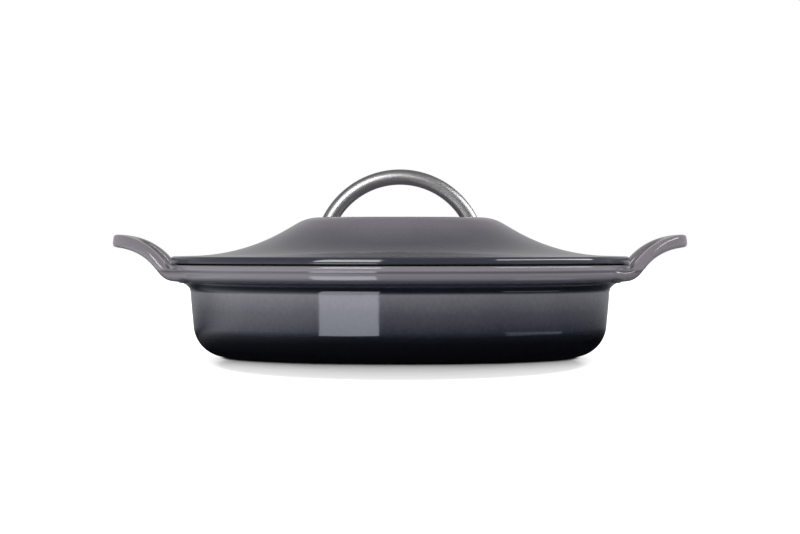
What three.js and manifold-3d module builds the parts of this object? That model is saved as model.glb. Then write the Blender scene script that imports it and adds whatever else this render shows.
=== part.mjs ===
// A shallow round cast iron pot with a flared lid. An arched steel rod is the lid's handle, and two
// flared loops are the side handles, cast in one piece with the pot. Millimetres, +Z up. The origin
// lies under the middle of the pot, on the surface it stands on. The side handles point along X.
import * as THREE from 'three';
import { mergeVertices } from 'three/addons/utils/BufferGeometryUtils.js';
import Module from 'manifold-3d';

// Pot wall and base
const POT_HEIGHT = 60.5; // up to the seat that the lid lies on
const WALL_TOP_RADIUS = 136; // outside of the wall, where the flange leaves it
const WALL_DRAFT = THREE.MathUtils.degToRad(5.3); // the wall leans outward, as a casting needs
const WALL_THICKNESS = 4;
const FLOOR_THICKNESS = 4.5;
const BASE_CORNER_RADIUS = 21.3; // outside, from the wall into the base
const FOOT_HEIGHT = 0.85; // the ring that the pot stands on
const FOOT_WIDTH = 10;
const FOOT_TAPER = 0.8; // how far each side of the ring slopes in

// Flange and lip round the pot's mouth
const FLANGE_WIDTH = 13.2; // how far the rim stands out from the wall
const COVE_DROP = 17.3; // from the seat down to where the flange leaves the wall
const COVE_HEIGHT = 6.8; // the hollow curve under the flange
const COVE_TURN = THREE.MathUtils.degToRad(72); // how much of a quarter ellipse the cove takes
const FLANGE_INSET = 0.3; // below the groove the flange is this much smaller than the lip
const FLANGE_EDGE_RADIUS = 1.8;
const LIP_HEIGHT = 3.6; // the plain band between the groove and the seat
const LIP_EDGE_RADIUS = 1.2;
const GROOVE_HEIGHT = 1;
const GROOVE_DEPTH = 0.6; // below the lip's face
const SEAT_WIDTH = 8.6; // from the rim in to the mouth
const MOUTH_DEPTH = 5.5; // the upright band inside the mouth

// Side handles, measured out from the rim
const HANDLE_REACH = 37; // rim to the outermost point
const HANDLE_SPAN = 90; // across both legs
const HANDLE_ROOT_DROP = 6.7; // from the seat down to the middle of the root
const HANDLE_BAR_WIDTH = 15; // seen from above
const HANDLE_ROOT_SPLAY = 6; // the middle of each leg moves this far outward to its root
const HANDLE_LEG_STRAIGHTNESS = 0.72; // how far out the pull on each leg reaches, as a share
const HANDLE_BAR_SQUARENESS = 0.95; // 0 would make the bar pointed
const HANDLE_ROOT_WIDTH = 36; // a leg where it grows out of the flange
const HANDLE_ROOT_BLEND = 18; // a leg is still spreading this far out of the rim
const HANDLE_ROOT_HOLLOW = 2.5; // 1 is a straight taper, more hollows the sides of the root
const HANDLE_ROOT_THICKNESS = 9;
const HANDLE_NECK_THICKNESS = 7.2;
const HANDLE_BAR_THICKNESS = 9.1;
const HANDLE_BEND_INSET = 4.5; // the upward bend starts this far inside the rim
const HANDLE_BEND_RADIUS = 6.6;
const HANDLE_FLARE_ANGLE = THREE.MathUtils.degToRad(53.6); // the steepest part
const HANDLE_FLARE_LENGTH = 4.3; // the straight part between the two bends
const HANDLE_SWEEP_RADIUS = 38; // the long bend back to level
const HANDLE_TIP_ANGLE = THREE.MathUtils.degToRad(2);

// Lid, measured up from the pot's seat
const LID_HEIGHT = 30.5; // seat to the flat top
const LID_THICKNESS = 3.8;
const LID_SEAT_GAP = 0.3;
const LID_RIM_HEIGHT = 5.2; // seat to the top of the rim, at its edge
const LID_RIM_ANGLE = THREE.MathUtils.degToRad(1.7);
const LID_EDGE_RADIUS = 1.9;
const LID_RELIEF_WIDTH = 3.5; // the outer band of the rim, which clears the pot's lip
const LID_RELIEF_HEIGHT = 0.5;
const LID_TOP_MARGIN = 3.1; // flat top outside the feet of the arched handle
const LID_SHOULDER_RADIUS = 27.3; // from the flat top into the slope
const LID_SLOPE_ANGLE = THREE.MathUtils.degToRad(30);
const LID_FLARE_RADIUS = 123.7; // from the slope out to the rim
const LID_FLARE_SHARE = 0.9; // the flare takes no more than this much of the slope's height
const SKIRT_CLEARANCE = 1.1; // the ring under the lid that centres it in the mouth
const SKIRT_DEPTH = 3.2;
const SKIRT_WIDTH = 4.4;
const SKIRT_TAPER = 0.5;

// Arched handle on the lid
const ROD_DIAMETER = 10;
const ARCH_SPAN = 89.4; // between the middles of the feet
const ARCH_RISE = 26.2; // flat top of the lid to the middle of the rod

// What holds the arched handle from under the lid
const SCREW_DIAMETER = 5;
const SCREW_HEAD_DIAMETER = 9.6;
const SCREW_HEAD_HEIGHT = 2.6;
const SCREW_HEAD_ROUNDING = 1.6;
const SCREW_SLOT_WIDTH = 1.2;
const SCREW_SLOT_DEPTH = 1.3;
const SCREW_TIP_CHAMFER = 0.5;
const THREAD_DEPTH = 6; // tapped hole in each foot of the rod
const THREAD_END_GAP = 0.4;
const HOLE_CLEARANCE = 0.3; // round the screw in every hole
const WASHER_DIAMETER = 12;
const WASHER_THICKNESS = 1;
const SEAL_DIAMETER = 14;
const SEAL_THICKNESS = 1;
const SPOT_FACE_CLEARANCE = 0.5; // round the seal in its shallow seat
const SPOT_FACE_DEPTH = 0.4;

// How finely the round shapes are faceted
const RING_SEGMENTS = 68;
const SMALL_SEGMENTS = 16;
const ROD_SIDES = 16;
const ROD_STEPS = 24;
const CORNER_STEPS = 5;
const EDGE_STEPS = 3;
const LOOP_STEPS = 40;
const LOOP_SIDES = 12;
const LOOP_CROWDING = 0.7; // below 1 the steps crowd towards the roots, where the handle bends
const LOOP_ROUNDNESS = 2.6; // 2 is an ellipse, more is squarer

// Worked out from the sizes above
const rimRadius = WALL_TOP_RADIUS + FLANGE_WIDTH;
const flangeRadius = rimRadius - FLANGE_INSET;
const mouthRadius = rimRadius - SEAT_WIDTH;
const coveStart = POT_HEIGHT - COVE_DROP;
const screwHoleRadius = SCREW_DIAMETER / 2 + HOLE_CLEARANCE;
const archRadius = (ARCH_SPAN ** 2 / 4 + ARCH_RISE ** 2) / (2 * ARCH_RISE);
const archCentreDrop = archRadius - ARCH_RISE; // below the lid's flat top

const wasm = await Module();
wasm.setup();

// Joins and cuts work on closed solids whose vertices are shared.
function toSolid(geometry) {
  const bare = geometry.clone();
  bare.deleteAttribute('normal');
  bare.deleteAttribute('uv');
  const merged = mergeVertices(bare);
  const corners = merged.index.array;
  const triangles = [];
  for (let i = 0; i < corners.length; i += 3) {
    const [a, b, c] = corners.slice(i, i + 3);
    if (a !== b && b !== c && c !== a) {
      triangles.push(a, b, c);
    }
  }
  const vertProperties = new Float32Array(merged.attributes.position.array);
  const triVerts = new Uint32Array(triangles);
  return new wasm.Manifold(new wasm.Mesh({ numProp: 3, vertProperties, triVerts }));
}

function toGeometry(solid) {
  const mesh = solid.getMesh();
  const geometry = new THREE.BufferGeometry();
  geometry.setAttribute('position', new THREE.BufferAttribute(mesh.vertProperties, 3));
  geometry.setIndex(new THREE.BufferAttribute(mesh.triVerts, 1));
  geometry.computeVertexNormals();
  return geometry;
}

// Spins a profile of radius and height about Z. It runs anticlockwise: out below, up, back in above.
function revolve(profile, segments) {
  return new THREE.LatheGeometry(profile, segments).rotateX(Math.PI / 2);
}

function uprightCylinder(radius, bottom, top, segments) {
  const length = top - bottom;
  const cylinder = new THREE.CylinderGeometry(radius, radius, length, segments).rotateX(Math.PI / 2);
  return cylinder.translate(0, 0, bottom + length / 2);
}

function box(width, depth, height) {
  return new THREE.BoxGeometry(width, depth, height);
}

function point(radius, height) {
  return new THREE.Vector2(radius, height);
}

// Points of an arc about a centre, from one angle to another, both ends included.
function arc(centre, radius, from, to, steps) {
  const points = [];
  for (let i = 0; i <= steps; i += 1) {
    const angle = from + ((to - from) * i) / steps;
    points.push(point(centre.x + radius * Math.cos(angle), centre.y + radius * Math.sin(angle)));
  }
  return points;
}

// Where a circle lies that touches a level floor and the inside of a leaning wall.
// The wall passes through the given point.
function cornerCentre(wallPoint, floorHeight, radius) {
  const height = floorHeight + radius;
  const rise = wallPoint.y - height;
  const wallRadius = wallPoint.x - rise * Math.tan(WALL_DRAFT);
  return point(wallRadius - radius / Math.cos(WALL_DRAFT), height);
}

function smoothStep(value) {
  return THREE.MathUtils.smoothstep(value, 0, 1);
}

// Pot

function potOutside() {
  const wallTop = point(WALL_TOP_RADIUS, coveStart);
  const corner = cornerCentre(wallTop, FOOT_HEIGHT, BASE_CORNER_RADIUS);
  const footOuter = corner.x;
  const footInner = footOuter - FOOT_WIDTH;
  return [
    point(0, FOOT_HEIGHT),
    point(footInner, FOOT_HEIGHT),
    point(footInner + FOOT_TAPER, 0),
    point(footOuter - FOOT_TAPER, 0),
    ...arc(corner, BASE_CORNER_RADIUS, -Math.PI / 2, -WALL_DRAFT, CORNER_STEPS),
    ...cove(),
    ...flangeEdge(),
    ...lip(),
  ];
}

// The hollow under the flange is part of an ellipse. It starts upright at the wall.
function cove() {
  const points = [];
  for (let i = 0; i <= CORNER_STEPS; i += 1) {
    const angle = (COVE_TURN * i) / CORNER_STEPS;
    const radius = WALL_TOP_RADIUS + FLANGE_WIDTH * (1 - Math.cos(angle));
    points.push(point(radius, coveStart + COVE_HEIGHT * Math.sin(angle)));
  }
  return points;
}

function flangeEdge() {
  const radius = FLANGE_EDGE_RADIUS;
  const centre = point(flangeRadius - radius, coveStart + COVE_HEIGHT + radius);
  return arc(centre, radius, -COVE_TURN, 0, EDGE_STEPS);
}

function lip() {
  const grooveTop = POT_HEIGHT - LIP_HEIGHT;
  const grooveRadius = rimRadius - GROOVE_DEPTH;
  const centre = point(rimRadius - LIP_EDGE_RADIUS, POT_HEIGHT - LIP_EDGE_RADIUS);
  return [
    point(flangeRadius, grooveTop - GROOVE_HEIGHT),
    point(grooveRadius, grooveTop - GROOVE_HEIGHT / 2),
    point(rimRadius, grooveTop),
    ...arc(centre, LIP_EDGE_RADIUS, 0, Math.PI / 2, EDGE_STEPS),
  ];
}

function potInside() {
  const floor = FOOT_HEIGHT + FLOOR_THICKNESS;
  const wallTop = point(WALL_TOP_RADIUS - WALL_THICKNESS / Math.cos(WALL_DRAFT), coveStart);
  const radius = BASE_CORNER_RADIUS - WALL_THICKNESS;
  const corner = cornerCentre(wallTop, floor, radius);
  const mouthEdge = point(mouthRadius + LIP_EDGE_RADIUS, POT_HEIGHT - LIP_EDGE_RADIUS);
  return [
    ...arc(mouthEdge, LIP_EDGE_RADIUS, Math.PI / 2, Math.PI, EDGE_STEPS),
    ...mouthFlare(wallTop),
    ...arc(corner, radius, -WALL_DRAFT, -Math.PI / 2, CORNER_STEPS),
    point(0, floor),
  ];
}

// Inside the mouth the wall swells out smoothly to the upright band that takes the lid's skirt.
function mouthFlare(wallTop) {
  const points = [];
  const top = POT_HEIGHT - MOUTH_DEPTH;
  for (let i = 0; i <= CORNER_STEPS; i += 1) {
    const share = 1 - i / CORNER_STEPS;
    const radius = wallTop.x + (mouthRadius - wallTop.x) * smoothStep(share);
    points.push(point(radius, wallTop.y + (top - wallTop.y) * share));
  }
  return points;
}

// Height and slope of the side handles over a distance from the pot's axis. They leave the flange
// level, bend up steeply and sweep back to nearly level at the tip.
function handleFlare(distance) {
  const start = rimRadius - HANDLE_BEND_INSET;
  const root = POT_HEIGHT - HANDLE_ROOT_DROP;
  const sin = Math.sin(HANDLE_FLARE_ANGLE);
  const cos = Math.cos(HANDLE_FLARE_ANGLE);
  const bendEnd = start + HANDLE_BEND_RADIUS * sin;
  const straightEnd = bendEnd + HANDLE_FLARE_LENGTH * cos;
  const sweepEnd = straightEnd + HANDLE_SWEEP_RADIUS * (sin - Math.sin(HANDLE_TIP_ANGLE));
  const bendTop = root + HANDLE_BEND_RADIUS * (1 - cos);
  const straightTop = bendTop + HANDLE_FLARE_LENGTH * sin;
  if (distance < start) {
    return { height: root, angle: 0 };
  }
  if (distance < bendEnd) {
    const angle = Math.asin((distance - start) / HANDLE_BEND_RADIUS);
    return { height: root + HANDLE_BEND_RADIUS * (1 - Math.cos(angle)), angle };
  }
  if (distance < straightEnd) {
    const rise = (distance - bendEnd) * Math.tan(HANDLE_FLARE_ANGLE);
    return { height: bendTop + rise, angle: HANDLE_FLARE_ANGLE };
  }
  const reached = Math.min(distance, sweepEnd);
  const angle = Math.asin(sin - (reached - straightEnd) / HANDLE_SWEEP_RADIUS);
  const height = straightTop + HANDLE_SWEEP_RADIUS * (Math.cos(angle) - cos);
  return { height: height + (distance - reached) * Math.tan(HANDLE_TIP_ANGLE), angle };
}

// The middle line of a side handle seen from above: out along one leg, round the bar and back.
function handlePlan() {
  const half = (HANDLE_SPAN - HANDLE_BAR_WIDTH) / 2;
  const bar = rimRadius + HANDLE_REACH - HANDLE_BAR_WIDTH / 2;
  const inside = rimRadius - (HANDLE_ROOT_WIDTH + SEAT_WIDTH) / 2;
  const leg = [
    point(inside, half + HANDLE_ROOT_SPLAY),
    point(THREE.MathUtils.lerp(inside, bar, HANDLE_LEG_STRAIGHTNESS), half),
    point(bar, half * HANDLE_BAR_SQUARENESS),
    point(bar, 0),
  ];
  const back = leg.map((corner) => point(corner.x, -corner.y)).reverse();
  const plan = new THREE.CurvePath();
  plan.add(new THREE.CubicBezierCurve(...leg));
  plan.add(new THREE.CubicBezierCurve(...back));
  return plan;
}

function handleThickness(distance) {
  const root = rimRadius - SEAT_WIDTH;
  const neck = rimRadius + HANDLE_BEND_RADIUS / 2;
  const tip = rimRadius + HANDLE_REACH;
  if (distance < neck) {
    const share = smoothStep((distance - root) / (neck - root));
    return THREE.MathUtils.lerp(HANDLE_ROOT_THICKNESS, HANDLE_NECK_THICKNESS, share);
  }
  const share = (distance - neck) / (tip - neck);
  return THREE.MathUtils.lerp(HANDLE_NECK_THICKNESS, HANDLE_BAR_THICKNESS, share);
}

// A leg spreads where it grows out of the flange, as a casting does.
function handleWidth(x, y) {
  const outside = Math.hypot(x, y) - rimRadius;
  const share = THREE.MathUtils.clamp(1 - outside / HANDLE_ROOT_BLEND, 0, 1);
  return THREE.MathUtils.lerp(HANDLE_BAR_WIDTH, HANDLE_ROOT_WIDTH, share ** HANDLE_ROOT_HOLLOW);
}

// A closed skin over rings that each have as many points, with a fan over each end.
function loft(rings) {
  const sides = rings[0].length;
  const positions = rings.flat().flatMap((corner) => corner.toArray());
  const triangles = [];
  for (let i = 0; i + 1 < rings.length; i += 1) {
    for (let k = 0; k < sides; k += 1) {
      const a = i * sides + k;
      const b = i * sides + ((k + 1) % sides);
      triangles.push(a, b + sides, b, a, a + sides, b + sides);
    }
  }
  const last = (rings.length - 1) * sides;
  for (let k = 1; k + 1 < sides; k += 1) {
    triangles.push(0, k, k + 1, last, last + k + 1, last + k);
  }
  const geometry = new THREE.BufferGeometry();
  geometry.setAttribute('position', new THREE.Float32BufferAttribute(positions, 3));
  geometry.setIndex(triangles);
  return geometry;
}

function superEllipse(angle, width, thickness) {
  const power = 2 / LOOP_ROUNDNESS;
  const across = Math.sign(Math.cos(angle)) * Math.abs(Math.cos(angle)) ** power;
  const up = Math.sign(Math.sin(angle)) * Math.abs(Math.sin(angle)) ** power;
  return { across: (across * width) / 2, up: (up * thickness) / 2 };
}

// One ring of the side handle. Its section stands square to the middle line and follows the flare.
function handleRing(plan, share) {
  const at = plan.getPointAt(share);
  const heading = plan.getTangentAt(share);
  const { height, angle } = handleFlare(at.x);
  const slope = Math.tan(angle);
  const along = new THREE.Vector3(heading.x, heading.y, heading.x * slope).normalize();
  const up = new THREE.Vector3(-slope, 0, 1).normalize();
  const across = new THREE.Vector3().crossVectors(along, up);
  const ring = [];
  for (let k = 0; k < LOOP_SIDES; k += 1) {
    const turn = (2 * Math.PI * k) / LOOP_SIDES;
    const section = superEllipse(turn, handleWidth(at.x, at.y), handleThickness(at.x));
    const corner = new THREE.Vector3(at.x, at.y, height);
    corner.addScaledVector(across, section.across);
    corner.addScaledVector(up, section.up);
    ring.push(corner);
  }
  return ring;
}

// The roots reach into the flange and stop inside its metal, short of the mouth.
function sideHandle() {
  const plan = handlePlan();
  const rings = [];
  for (let i = 0; i <= LOOP_STEPS; i += 1) {
    const fromMiddle = (2 * i) / LOOP_STEPS - 1;
    const crowded = Math.sign(fromMiddle) * Math.abs(fromMiddle) ** LOOP_CROWDING;
    rings.push(handleRing(plan, (1 + crowded) / 2));
  }
  const core = rimRadius - SEAT_WIDTH / 2;
  const inside = uprightCylinder(core, 0, 2 * POT_HEIGHT, RING_SEGMENTS);
  return toSolid(loft(rings)).subtract(toSolid(inside));
}

function potBody() {
  const shell = toSolid(revolve([...potOutside(), ...potInside()], RING_SEGMENTS));
  const right = sideHandle();
  return toGeometry(shell.add(right).add(right.rotate([0, 0, 180])));
}

// Lid, with its heights above the pot's seat

// The outer line of the lid from its middle to its edge, or a line inside it by an inset.
function lidLine(inset) {
  const slope = LID_SLOPE_ANGLE;
  const flatRadius = ARCH_SPAN / 2 + ROD_DIAMETER / 2 + LID_TOP_MARGIN;
  const shoulderDrop = LID_SHOULDER_RADIUS * (1 - Math.cos(slope));
  const rimEnd = point(rimRadius - LID_EDGE_RADIUS, LID_RIM_HEIGHT);
  const roomForFlare = LID_HEIGHT - LID_RIM_HEIGHT - shoulderDrop;
  const flareTurn = Math.cos(LID_RIM_ANGLE) - Math.cos(slope);
  const flareRadius = Math.min(LID_FLARE_RADIUS, (LID_FLARE_SHARE * roomForFlare) / flareTurn);
  const flareWidth = flareRadius * (Math.sin(slope) - Math.sin(LID_RIM_ANGLE));
  const shoulderEnd = point(
    flatRadius + LID_SHOULDER_RADIUS * Math.sin(slope),
    LID_HEIGHT - shoulderDrop,
  );
  const rimRise = Math.tan(LID_RIM_ANGLE);
  const rimDrop = (rimEnd.x - shoulderEnd.x - flareWidth) * rimRise;
  const straightDrop = roomForFlare - flareRadius * flareTurn - rimDrop;
  const straight = straightDrop / (Math.sin(slope) - Math.cos(slope) * rimRise);
  const flareStart = point(
    shoulderEnd.x + straight * Math.cos(slope),
    shoulderEnd.y - straight * Math.sin(slope),
  );
  const shoulderCentre = point(flatRadius, LID_HEIGHT - LID_SHOULDER_RADIUS);
  const flareCentre = point(
    flareStart.x + flareRadius * Math.sin(slope),
    flareStart.y + flareRadius * Math.cos(slope),
  );
  const up = Math.PI / 2;
  const shoulder = arc(shoulderCentre, LID_SHOULDER_RADIUS - inset, up, up - slope, CORNER_STEPS);
  const flare = arc(flareCentre, flareRadius + inset, -up - slope, -up - LID_RIM_ANGLE, CORNER_STEPS);
  return [...shoulder, ...flare];
}

function lidRim() {
  const skirtRadius = mouthRadius - SKIRT_CLEARANCE;
  const relief = LID_SEAT_GAP + LID_RELIEF_HEIGHT;
  const reliefRadius = rimRadius - LID_RELIEF_WIDTH;
  const lower = point(rimRadius - LID_EDGE_RADIUS, relief + LID_EDGE_RADIUS);
  const upper = point(rimRadius - LID_EDGE_RADIUS, LID_RIM_HEIGHT - LID_EDGE_RADIUS);
  return [
    point(skirtRadius - SKIRT_WIDTH, LID_RIM_HEIGHT - LID_THICKNESS),
    point(skirtRadius - SKIRT_WIDTH + SKIRT_TAPER, -SKIRT_DEPTH),
    point(skirtRadius - SKIRT_TAPER, -SKIRT_DEPTH),
    point(skirtRadius, LID_SEAT_GAP),
    point(reliefRadius, LID_SEAT_GAP),
    point(reliefRadius + LID_RELIEF_HEIGHT, relief),
    ...arc(lower, LID_EDGE_RADIUS, -Math.PI / 2, 0, EDGE_STEPS),
    ...arc(upper, LID_EDGE_RADIUS, 0, Math.PI / 2, EDGE_STEPS),
  ];
}

function lid() {
  const profile = [
    point(0, LID_HEIGHT - LID_THICKNESS),
    ...lidLine(LID_THICKNESS),
    ...lidRim(),
    ...lidLine(0).reverse(),
    point(0, LID_HEIGHT),
  ];
  let solid = toSolid(revolve(profile, RING_SEGMENTS));
  for (const side of [-1, 1]) {
    solid = solid.subtract(screwPassage(side));
  }
  return toGeometry(solid);
}

// Where the screw stands up into the foot of the rod. The rod leans there, and the hole keeps
// midway between its two sides.
function screwDistance() {
  const atEnd = Math.sqrt(archRadius ** 2 - (archCentreDrop + THREAD_DEPTH) ** 2);
  return (ARCH_SPAN / 2 + atEnd) / 2;
}

// A clear hole through the lid and a shallow flat seat for the seal under it.
function screwPassage(side) {
  const underside = LID_HEIGHT - LID_THICKNESS;
  const seat = underside + SPOT_FACE_DEPTH;
  const seatRadius = SEAL_DIAMETER / 2 + SPOT_FACE_CLEARANCE;
  const beyond = LID_THICKNESS;
  const hole = uprightCylinder(screwHoleRadius, underside - beyond, LID_HEIGHT + beyond, SMALL_SEGMENTS);
  const spotFace = uprightCylinder(seatRadius, underside - beyond, seat, SMALL_SEGMENTS);
  return toSolid(hole).add(toSolid(spotFace)).translate([side * screwDistance(), 0, 0]);
}

// Arched handle, with its heights above the lid's flat top

class ArchCurve extends THREE.Curve {
  constructor(radius, centreHeight, halfAngle) {
    super();
    this.radius = radius;
    this.centreHeight = centreHeight;
    this.halfAngle = halfAngle;
  }

  getPoint(share, target = new THREE.Vector3()) {
    const angle = this.halfAngle * (2 * share - 1);
    return target.set(
      this.radius * Math.sin(angle),
      0,
      this.centreHeight + this.radius * Math.cos(angle),
    );
  }
}

// The rod is made a little too long and cut off level with the lid's flat top.
function archHandle() {
  const footAngle = Math.asin(ARCH_SPAN / 2 / archRadius);
  const spare = ROD_DIAMETER / archRadius;
  const section = new THREE.Shape();
  section.absarc(0, 0, ROD_DIAMETER / 2, 0, 2 * Math.PI);
  const rod = new THREE.ExtrudeGeometry(section, {
    steps: ROD_STEPS,
    curveSegments: ROD_SIDES / 2,
    extrudePath: new ArchCurve(archRadius, -archCentreDrop, footAngle + spare),
  });
  const depth = 4 * ROD_DIAMETER;
  const below = box(2 * ARCH_SPAN, depth, depth).translate(0, 0, -depth / 2);
  let solid = toSolid(rod).subtract(toSolid(below));
  for (const side of [-1, 1]) {
    const hole = uprightCylinder(screwHoleRadius, -ROD_DIAMETER, THREAD_DEPTH, SMALL_SEGMENTS);
    solid = solid.subtract(toSolid(hole).translate([side * screwDistance(), 0, 0]));
  }
  return toGeometry(solid);
}

// Fasteners, each with its heights above the face of the screw's head that presses on the washer

function screw() {
  const grip = WASHER_THICKNESS + SEAL_THICKNESS + LID_THICKNESS - SPOT_FACE_DEPTH;
  const length = grip + THREAD_DEPTH - THREAD_END_GAP;
  const head = SCREW_HEAD_DIAMETER / 2;
  const shank = SCREW_DIAMETER / 2;
  const crown = point(head - SCREW_HEAD_ROUNDING, SCREW_HEAD_ROUNDING - SCREW_HEAD_HEIGHT);
  const profile = [
    point(0, -SCREW_HEAD_HEIGHT),
    ...arc(crown, SCREW_HEAD_ROUNDING, -Math.PI / 2, 0, EDGE_STEPS),
    point(head, 0),
    point(shank, 0),
    point(shank, length - SCREW_TIP_CHAMFER),
    point(shank - SCREW_TIP_CHAMFER, length),
    point(0, length),
  ];
  const slot = box(2 * SCREW_HEAD_DIAMETER, SCREW_SLOT_WIDTH, 2 * SCREW_SLOT_DEPTH);
  slot.translate(0, 0, -SCREW_HEAD_HEIGHT);
  return toGeometry(toSolid(revolve(profile, SMALL_SEGMENTS)).subtract(toSolid(slot)));
}

// A flat ring from its lower face at height 0.
function flatRing(diameter, thickness) {
  const outer = diameter / 2;
  const profile = [
    point(screwHoleRadius, 0),
    point(outer, 0),
    point(outer, thickness),
    point(screwHoleRadius, thickness),
    point(screwHoleRadius, 0),
  ];
  return revolve(profile, SMALL_SEGMENTS);
}

// Finishes
const enamel = new THREE.MeshStandardMaterial({ color: 0x7b777c, roughness: 0.2, metalness: 0.1 });
const satinSteel = new THREE.MeshStandardMaterial({ color: 0xb9b7b4, roughness: 0.35, metalness: 1 });
const plainSteel = new THREE.MeshStandardMaterial({ color: 0xa8a8a6, roughness: 0.4, metalness: 1 });
const blackSilicone = new THREE.MeshStandardMaterial({ color: 0x2a2a2b, roughness: 0.8, metalness: 0 });

function piece(name, geometry, material) {
  const mesh = new THREE.Mesh(geometry, material);
  mesh.name = name;
  return mesh;
}

// Seal, washer and screw hang one under the other below the lid's spot face.
function fastening(sideName, side) {
  const group = new THREE.Group();
  const seat = LID_HEIGHT - LID_THICKNESS + SPOT_FACE_DEPTH;
  group.position.set(side * screwDistance(), 0, seat - SEAL_THICKNESS - WASHER_THICKNESS);
  const washer = piece(`${sideName}_washer`, flatRing(WASHER_DIAMETER, WASHER_THICKNESS), plainSteel);
  const seal = piece(`${sideName}_seal`, flatRing(SEAL_DIAMETER, SEAL_THICKNESS), blackSilicone);
  seal.position.z = WASHER_THICKNESS;
  group.add(piece(`${sideName}_screw`, screw(), plainSteel), washer, seal);
  return group;
}

function lidAssembly() {
  const group = new THREE.Group();
  group.position.z = POT_HEIGHT;
  const handle = piece('arch_handle', archHandle(), satinSteel);
  handle.position.z = LID_HEIGHT;
  group.add(piece('lid', lid(), enamel), handle, fastening('left', -1), fastening('right', 1));
  return group;
}

const pot = new THREE.Group();
pot.add(piece('pot_body', potBody(), enamel), lidAssembly());

export default pot;
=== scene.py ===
# %% [markdown]
# # Dressing a cast iron pot
# The object is a shallow round pot of enamelled cast iron. Two loops for the hands are cast on its
# rim, and its lid carries an arched handle of steel rod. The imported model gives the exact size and
# place of every piece. This lesson makes finer pieces over it and gives each one its finish.
# Lengths are written in millimetres and multiplied by MM, because Blender works in metres.

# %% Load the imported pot
import math

import bmesh
import bpy
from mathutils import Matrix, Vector
from mathutils.geometry import interpolate_bezier


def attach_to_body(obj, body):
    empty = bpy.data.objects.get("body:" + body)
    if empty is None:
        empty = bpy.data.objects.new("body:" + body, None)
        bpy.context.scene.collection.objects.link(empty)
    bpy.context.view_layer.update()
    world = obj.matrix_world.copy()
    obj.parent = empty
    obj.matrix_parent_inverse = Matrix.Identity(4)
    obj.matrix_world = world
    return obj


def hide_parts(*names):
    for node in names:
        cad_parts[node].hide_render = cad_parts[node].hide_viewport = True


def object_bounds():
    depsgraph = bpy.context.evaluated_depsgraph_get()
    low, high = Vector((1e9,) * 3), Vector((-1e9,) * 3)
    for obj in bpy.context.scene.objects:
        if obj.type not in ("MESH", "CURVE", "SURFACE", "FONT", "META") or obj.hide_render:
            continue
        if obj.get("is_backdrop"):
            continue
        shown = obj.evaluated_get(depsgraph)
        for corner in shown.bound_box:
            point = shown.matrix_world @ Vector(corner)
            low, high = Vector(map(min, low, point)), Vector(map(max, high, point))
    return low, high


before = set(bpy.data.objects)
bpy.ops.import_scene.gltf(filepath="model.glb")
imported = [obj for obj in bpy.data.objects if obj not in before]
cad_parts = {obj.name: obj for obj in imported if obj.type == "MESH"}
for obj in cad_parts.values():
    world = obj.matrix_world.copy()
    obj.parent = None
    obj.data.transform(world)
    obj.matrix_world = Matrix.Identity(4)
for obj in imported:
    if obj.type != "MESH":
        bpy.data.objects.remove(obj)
cad_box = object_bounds()
MM = 0.001
scene = bpy.context.scene
print("nodes:", sorted(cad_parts))

# %% [markdown]
# ## Camera
# The photograph was taken from straight in front, about 1.9 m away and level with the rim of the
# lid, so the rim is seen nearly edge on. A long lens frames the pot as the photograph does.

# %% Place the camera
CAMERA_PLACE = Vector((0, -1917, 72.5)) * MM
CAMERA_AIM = Vector((0, 0, 58.8)) * MM
CAMERA_LENS = 132.75

view_direction = CAMERA_AIM - CAMERA_PLACE
bpy.ops.object.camera_add(
    location=CAMERA_PLACE, rotation=view_direction.to_track_quat("-Z", "Y").to_euler()
)
camera = bpy.context.object
camera.data.lens = CAMERA_LENS
camera.data.sensor_width = 36
scene.camera = camera
scene.view_settings.view_transform = "Standard"
print("camera looks", [round(value, 3) for value in view_direction.normalized()])

# %% [markdown]
# ## Short names for shader nodes
# The studio and the finishes are all made with nodes. These few functions add one node each and
# link it, so that a material reads like a sum.

# %% Node helpers
def maths(tree, kind, first, second):
    """A sum of two values, either of which may be a plain number."""
    node = tree.nodes.new("ShaderNodeMath")
    node.operation = kind
    for socket, value in zip(node.inputs, (first, second)):
        if isinstance(value, (int, float)):
            socket.default_value = value
        else:
            tree.links.new(value, socket)
    return node.outputs[0]


def vector_maths(tree, kind, vector, constant=(0, 0, 0)):
    """The number that comes from a vector and a constant one."""
    node = tree.nodes.new("ShaderNodeVectorMath")
    node.operation = kind
    tree.links.new(vector, node.inputs[0])
    node.inputs[1].default_value = constant
    return node.outputs["Vector" if kind == "MULTIPLY" else "Value"]


def stretch(tree, value, low, high, to_low=0.0, to_high=1.0, ease=False):
    """Maps a value from one range to another, evenly or with soft ends."""
    node = tree.nodes.new("ShaderNodeMapRange")
    node.interpolation_type = "SMOOTHSTEP" if ease else "LINEAR"
    for socket, number in zip(node.inputs[1:5], (low, high, to_low, to_high)):
        socket.default_value = number
    tree.links.new(value, node.inputs["Value"])
    return node.outputs[0]


def colour_ramp(tree, value, stops):
    """A ramp through stops of position and colour, or of position and a grey tone."""
    ramp = tree.nodes.new("ShaderNodeValToRGB")
    elements = ramp.color_ramp.elements
    while len(elements) < len(stops):
        elements.new(0.5)
    for element, (position, colour) in zip(elements, stops):
        red, green, blue = (colour, colour, colour) if isinstance(colour, float) else colour
        element.position = position
        element.color = (red, green, blue, 1)
    tree.links.new(value, ramp.inputs["Fac"])
    return ramp.outputs["Color"]


def object_coordinates(tree):
    """The place of a point on its piece, which stays with the piece when it moves."""
    return tree.nodes.new("ShaderNodeTexCoord").outputs["Object"]


# %% [markdown]
# ## World
# The photograph has a plain white ground with a soft shadow under the pot. The world is white where
# the camera or a reflection looks at it. As a lamp it is a dome that is brighter behind the pot and
# to its left than in front, which gives the deep shadow at the front of the foot.

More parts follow.
